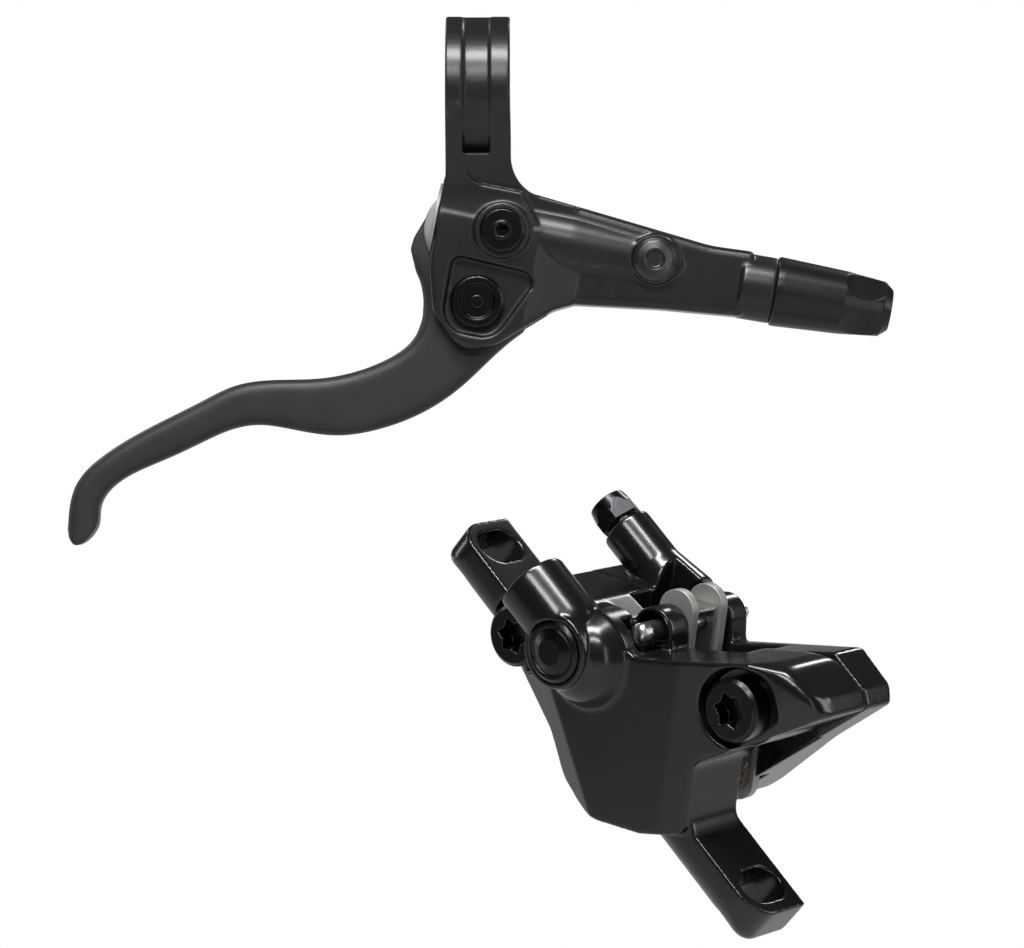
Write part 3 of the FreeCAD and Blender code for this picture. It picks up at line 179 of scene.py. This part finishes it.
def add_bump(tree, shader, height, strength, distance, normal=None):
    """Gives a shader a relief of a height in millimetres, on top of a normal if there is one."""
    bump = tree.nodes.new("ShaderNodeBump")
    bump.inputs["Strength"].default_value = strength
    bump.inputs["Distance"].default_value = distance * MM
    tree.links.new(height, bump.inputs["Height"])
    if normal:
        tree.links.new(normal, bump.inputs["Normal"])
    tree.links.new(bump.outputs["Normal"], shader.inputs["Normal"])


def corner_wear_and_highlight(tree, radius):
    """How near a corner a point lies, by how far rounding turns its normal, and the rounded normal; nearness
    lightens the corner as wear and painted edge highlight.
    """
    bevel = tree.nodes.new("ShaderNodeBevel")
    bevel.samples = CORNER_SAMPLES
    bevel.inputs["Radius"].default_value = radius * MM
    geometry = tree.nodes.new("ShaderNodeNewGeometry")
    cosine = tree.nodes.new("ShaderNodeVectorMath")
    cosine.operation = "DOT_PRODUCT"
    tree.links.new(bevel.outputs["Normal"], cosine.inputs[0])
    tree.links.new(geometry.outputs["Normal"], cosine.inputs[1])
    wear_and_highlight = ranged(tree, cosine.outputs["Value"], CORNER_PLAIN_COSINE, CORNER_WORN_AND_LIT_COSINE)
    return wear_and_highlight, bevel.outputs["Normal"]


def skin_wear_and_highlight(tree):
    """How sharply a soft skin bends outwards at a point, which lightens its bends as wear and painted edge
    highlight.
    """
    geometry = tree.nodes.new("ShaderNodeNewGeometry")
    return ranged(tree, geometry.outputs["Pointiness"], SKIN_PLAIN_BEND, SKIN_WORN_AND_LIT_BEND)


def finish_material(name, colour, worn_and_lit, roughness, metallic=0.0, specular=0.5, grain_per_mm=2.0, grain=0.02,
                    edge=0.4, stretch=(1, 1, 1), mottle=0.12):
    """A surface with lighter corners, partly wear and partly painted edge highlight, uneven gloss and a fine
    grain; edge is 0 for the soft skins.
    """
    material, tree, shader, _ = new_material(name)
    wear_and_highlight, rounded = corner_wear_and_highlight(tree, edge) if edge else (skin_wear_and_highlight(tree), None)
    cloud = ranged(tree, noise(tree, CLOUD_PER_MM), NOISE_LOW, NOISE_HIGH)
    darker = [c * (1 - mottle) for c in colour]
    lighter = [c * (1 + mottle) for c in colour]
    ground = mixed(tree, cloud, darker, lighter)
    # corners take the lighter second colour: partly wear, partly painted edge highlight
    tree.links.new(mixed(tree, wear_and_highlight, ground, worn_and_lit), shader.inputs["Base Color"])
    gloss = ranged(tree, noise(tree, GLOSS_PER_MM, stretch=stretch), NOISE_LOW, NOISE_HIGH,
                   roughness * (1 - GLOSS_CHANGE), roughness * (1 + GLOSS_CHANGE))
    tree.links.new(gloss, shader.inputs["Roughness"])
    relief = noise(tree, grain_per_mm, detail=2.0, stretch=stretch)
    add_bump(tree, shader, relief, GRAIN_STRENGTH, grain, rounded)
    shader.inputs["Metallic"].default_value = metallic
    shader.inputs["Specular IOR Level"].default_value = specular
    return material


def lining_material():
    """Friction lining: a dark resin with fibres and bright metal flecks."""
    material, tree, shader, _ = new_material("pad_lining_resin")
    flecks = ranged(tree, noise(tree, FLECKS_PER_MM, detail=1.0), FLECK_START, FLECK_FULL)
    tree.links.new(mixed(tree, flecks, LINING_RESIN, LINING_FLECKS), shader.inputs["Base Color"])
    shader.inputs["Roughness"].default_value = LINING_ROUGHNESS
    add_bump(tree, shader, noise(tree, FIBRES_PER_MM, detail=4.0), FIBRE_STRENGTH, FIBRE_HEIGHT)
    return material


# Paints, metals, plastics and rubber
# each finish's second colour lightens its corners: partly wear, partly painted edge highlight
housing_paint = finish_material("satin_black_paint", (0.0065, 0.0065, 0.007), (0.018, 0.018, 0.019), 0.31,
                                specular=0.26, grain=0.01, edge=0)
plug_paint = finish_material("satin_black_plug", (0.0075, 0.0075, 0.008), (0.022, 0.022, 0.023), 0.28,
                             specular=0.4, edge=0.3)
caliper_paint = finish_material("gloss_black_paint", (0.0032, 0.0032, 0.0035), (0.008, 0.008, 0.009), 0.21,
                                specular=0.32, grain=0.004, edge=0)
blade_paint = finish_material("matte_black_paint", (0.013, 0.013, 0.014), (0.019, 0.019, 0.020), 0.45,
                              specular=0.2, edge=0, grain=0.01, grain_per_mm=3.0)
black_steel = finish_material("black_oxide_steel", (0.018, 0.018, 0.019), (0.08, 0.08, 0.08), 0.28,
                              metallic=1.0, edge=0.2)
bright_steel = finish_material("polished_steel", (0.50, 0.50, 0.49), (0.62, 0.62, 0.62), 0.30,
                               metallic=1.0, edge=0.15, stretch=(1, 0.1, 1))
plain_steel = finish_material("plain_steel", (0.42, 0.42, 0.42), (0.55, 0.55, 0.55), 0.35,
                              metallic=1.0, edge=0.15)
pad_steel = finish_material("phosphated_steel", (0.22, 0.22, 0.21), (0.34, 0.34, 0.33), 0.5,
                            metallic=0.65, edge=0.25, mottle=0.2, grain=0.03)
aluminium = finish_material("machined_aluminium", (0.60, 0.60, 0.61), (0.70, 0.70, 0.71), 0.30,
                            metallic=1.0, edge=0.2)
brass = finish_material("plain_brass", (0.60, 0.44, 0.20), (0.70, 0.52, 0.26), 0.3,
                        metallic=1.0, edge=0.2)
grey_plastic = finish_material("grey_plastic", (0.13, 0.13, 0.135), (0.16, 0.16, 0.165), 0.42, edge=0.3)
bush_plastic = finish_material("bearing_plastic", (0.05, 0.05, 0.05), (0.06, 0.06, 0.06), 0.5, edge=0.15)
cover_plastic = finish_material("soft_cover", (0.004, 0.004, 0.0042), (0.010, 0.010, 0.0105), 0.28,
                                specular=0.22, grain=0.01, grain_per_mm=3.0, edge=0.5)
rubber = finish_material("seal_rubber", (0.018, 0.018, 0.018), (0.025, 0.025, 0.025), 0.6, edge=0.15)

LOOKS = {
    "lever_housing": housing_paint,
    "channel_plug": plug_paint,
    "lever_blade": blade_paint,
    "end_collar": grey_plastic,
    "hose_cover": cover_plastic,
    "hose_nut": brass,
    "caliper_outer_half": caliper_paint,
    "caliper_inner_half": caliper_paint,
    "master_piston": aluminium,
    "pivot_bushes": bush_plastic,
    **dict.fromkeys(["clamp_bolt", "reach_screw", "pivot_pin", "bleed_screw", "body_bolts", "passage_plug",
                     "bleed_nipple"], black_steel),
    **dict.fromkeys(["pivot_clip", "push_rod", "retaining_ring", "outer_piston",
                     "inner_piston"], plain_steel),
    **dict.fromkeys(["primary_seal", "secondary_seal", "passage_o_ring", "piston_seals"], rubber),
    **dict.fromkeys(["piston_spring", "pad_spring", "pad_pin"], bright_steel),
    **dict.fromkeys(["outer_pad_plate", "inner_pad_plate"], pad_steel),
    **dict.fromkeys(["outer_pad_lining", "inner_pad_lining"], lining_material()),
}


# Pieces
def dress(piece, material):
    """Gives a piece its material and no other."""
    piece.data.materials.clear()
    piece.data.materials.append(material)


def bake(piece):
    """Turns a piece's modifiers into its own mesh."""
    graph = bpy.context.evaluated_depsgraph_get()
    mesh = bpy.data.meshes.new_from_object(piece.evaluated_get(graph))
    piece.modifiers.clear()
    piece.data = mesh


def soften(piece, name, rounds, group=""):
    """Adds rounds of softening to a piece, all over or by the weights of a group of its points."""
    modifier = piece.modifiers.new(name, "SMOOTH")
    modifier.factor = SOFTEN_FACTOR
    modifier.iterations = rounds
    modifier.vertex_group = group


def on_caliper(place):
    """A point of the scene, from its place in the caliper's frame in millimetres."""
    turns = Euler([math.radians(turn) for turn in CALIPER_TURNS])
    return CALIPER_MIDDLE + turns.to_matrix() @ Vector(place) * MM


def round_edge(piece, name, start, end):
    """Rounds a soft skin broadly along the line between two points, less and less away from it."""
    line = end - start
    group = piece.vertex_groups.new(name=name)
    for vertex in piece.data.vertices:
        share = max(0.0, min(1.0, (vertex.co - start).dot(line) / line.length_squared))
        away = (vertex.co - start - line * share).length / (NOSE_EDGE_REACH * MM)
        if away < 1:
            group.add([vertex.index], 1 - away, "REPLACE")
    soften(piece, name, NOSE_EDGE_ROUNDS, group.name)


def cast_copy(node, material, rounds, share, edges):
    """Stands in for a cast or forged node with a finer skin whose corners and creases are softly rounded."""
    piece = bpy.data.objects.new(node + "_skin", NODES[node].data.copy())
    bpy.context.scene.collection.objects.link(piece)
    weld = piece.modifiers.new("weld", "WELD")
    weld.merge_threshold = WELD_DISTANCE * MM
    skin = piece.modifiers.new("skin", "REMESH")
    skin.mode = "VOXEL"
    skin.voxel_size = SKIN_VOXEL * MM
    soften(piece, "soften", rounds)
    bake(piece)
    for number, (start, end) in enumerate(edges):
        round_edge(piece, f"edge_{number}", on_caliper(start), on_caliper(end))
    thin = piece.modifiers.new("thin", "DECIMATE")
    thin.ratio = share
    bake(piece)
    dress(piece, material)
    piece.data.shade_smooth()
    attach(piece, BODY_OF[node])
    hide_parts(node)


# Stage
def far_white(tree, seen):
    """Keeps the white to the stage's part behind the object, so that the floor near it shows its shadow."""
    place = tree.nodes.new("ShaderNodeTexCoord")
    split = tree.nodes.new("ShaderNodeSeparateXYZ")
    tree.links.new(place.outputs["Object"], split.inputs[0])
    behind = ranged(tree, split.outputs["Y"], WHITE_START, WHITE_FULL, steps="SMOOTHSTEP")
    return combined(tree, "MULTIPLY", behind, seen)


def stage_material():
    """White behind the object for the camera, in reflections and through glass; grey for other light."""
    material, tree, shader, output = new_material("stage_white")
    shader.inputs["Base Color"].default_value = STAGE_COLOUR
    shader.inputs["Roughness"].default_value = STAGE_ROUGHNESS
    glow = tree.nodes.new("ShaderNodeEmission")
    glow.inputs["Strength"].default_value = 1.0
    path = tree.nodes.new("ShaderNodeLightPath")
    seen = combined(tree, "MAXIMUM", path.outputs["Is Camera Ray"], path.outputs["Is Glossy Ray"])
    seen = combined(tree, "MAXIMUM", seen, path.outputs["Is Transmission Ray"])
    mix = tree.nodes.new("ShaderNodeMixShader")
    tree.links.new(far_white(tree, seen), mix.inputs[0])
    tree.links.new(shader.outputs["BSDF"], mix.inputs[1])
    tree.links.new(glow.outputs["Emission"], mix.inputs[2])
    tree.links.new(mix.outputs["Shader"], output.inputs["Surface"])
    return material


def add_stand(name, points, faces, material):
    """Adds a mesh to the stage."""
    mesh = bpy.data.meshes.new(name)
    mesh.from_pydata(points, [], faces)
    mesh.materials.append(material)
    stand = bpy.data.objects.new(name, mesh)
    bpy.context.scene.collection.objects.link(stand)


def make_stage():
    """The floor, and a low curved wall behind the object that closes the view at eye level."""
    material = stage_material()
    signs = ((-1, -1), (1, -1), (1, 1), (-1, 1))
    corners = [(x * FLOOR_HALF, y * FLOOR_HALF, FLOOR_HEIGHT) for x, y in signs]
    add_stand("floor", corners, [(0, 1, 2, 3)], material)
    points = []
    for i in range(WALL_SEGMENTS + 1):
        turn = math.radians(90 + WALL_HALF_ANGLE * (2 * i / WALL_SEGMENTS - 1))
        x = WALL_RADIUS * math.cos(turn)
        y = WALL_RADIUS * math.sin(turn)
        points += [(x, y, FLOOR_HEIGHT), (x, y, WALL_TOP)]
    faces = [(2 * i, 2 * i + 2, 2 * i + 3, 2 * i + 1) for i in range(WALL_SEGMENTS)]
    add_stand("wall", points, faces, material)


# Lights and camera
def area_light(name, place, width, height, power):
    """A rectangular lamp that faces the object, in metres and watts."""
    lamp = bpy.data.lights.new(name, "AREA")
    lamp.shape = "RECTANGLE"
    lamp.size = width
    lamp.size_y = height
    lamp.energy = power
    stand = bpy.data.objects.new(name, lamp)
    stand.location = place
    direction = Vector(LAMP_TARGET) - Vector(place)
    stand.rotation_euler = direction.to_track_quat("-Z", "Y").to_euler()
    bpy.context.scene.collection.objects.link(stand)


def make_lights():
    """A key light and a strip above the camera, and weaker lamps that draw the edges."""
    area_light("key_top", (-0.05, -0.50, 0.72), 0.5, 0.19, 18)
    area_light("front_box", (-0.13, -0.90, 0.50), 0.6, 0.09, 8)
    area_light("right_front", (0.42, -1.0, 0.0), 0.10, 0.6, 1.2)
    area_light("right_side", (0.95, -0.1, 0.2), 0.08, 0.7, 2.2)
    area_light("nose_back", (0.48, 0.64, 0.67), 0.16, 0.16, 2)
    area_light("left_back", (-0.9, 0.35, 0.2), 0.08, 0.6, 1.5)
    area_light("back_top", (-0.8, 0.9, 0.8), 0.5, 0.3, 3)


def make_world():
    """A dim even surrounding."""
    world = bpy.data.worlds.new("studio")
    world.use_nodes = True
    background = world.node_tree.nodes["Background"]
    background.inputs["Color"].default_value = WORLD_COLOUR
    background.inputs["Strength"].default_value = 1.0
    bpy.context.scene.world = world


def make_camera():
    """The photograph's camera, level and facing +y."""
    camera = bpy.data.cameras.new("camera")
    camera.lens = CAMERA_LENS
    camera.sensor_width = SENSOR_WIDTH
    stand = bpy.data.objects.new("camera", camera)
    stand.location = CAMERA_PLACE
    stand.rotation_euler = (math.radians(90), 0, 0)
    bpy.context.scene.collection.objects.link(stand)
    bpy.context.scene.camera = stand


for node_name, look in LOOKS.items():
    if node_name in CAST:
        cast_copy(node_name, look, *CAST[node_name])
    else:
        dress(NODES[node_name], look)
make_stage()
make_lights()
make_world()
make_camera()
bpy.context.scene.view_settings.view_transform = "Standard"
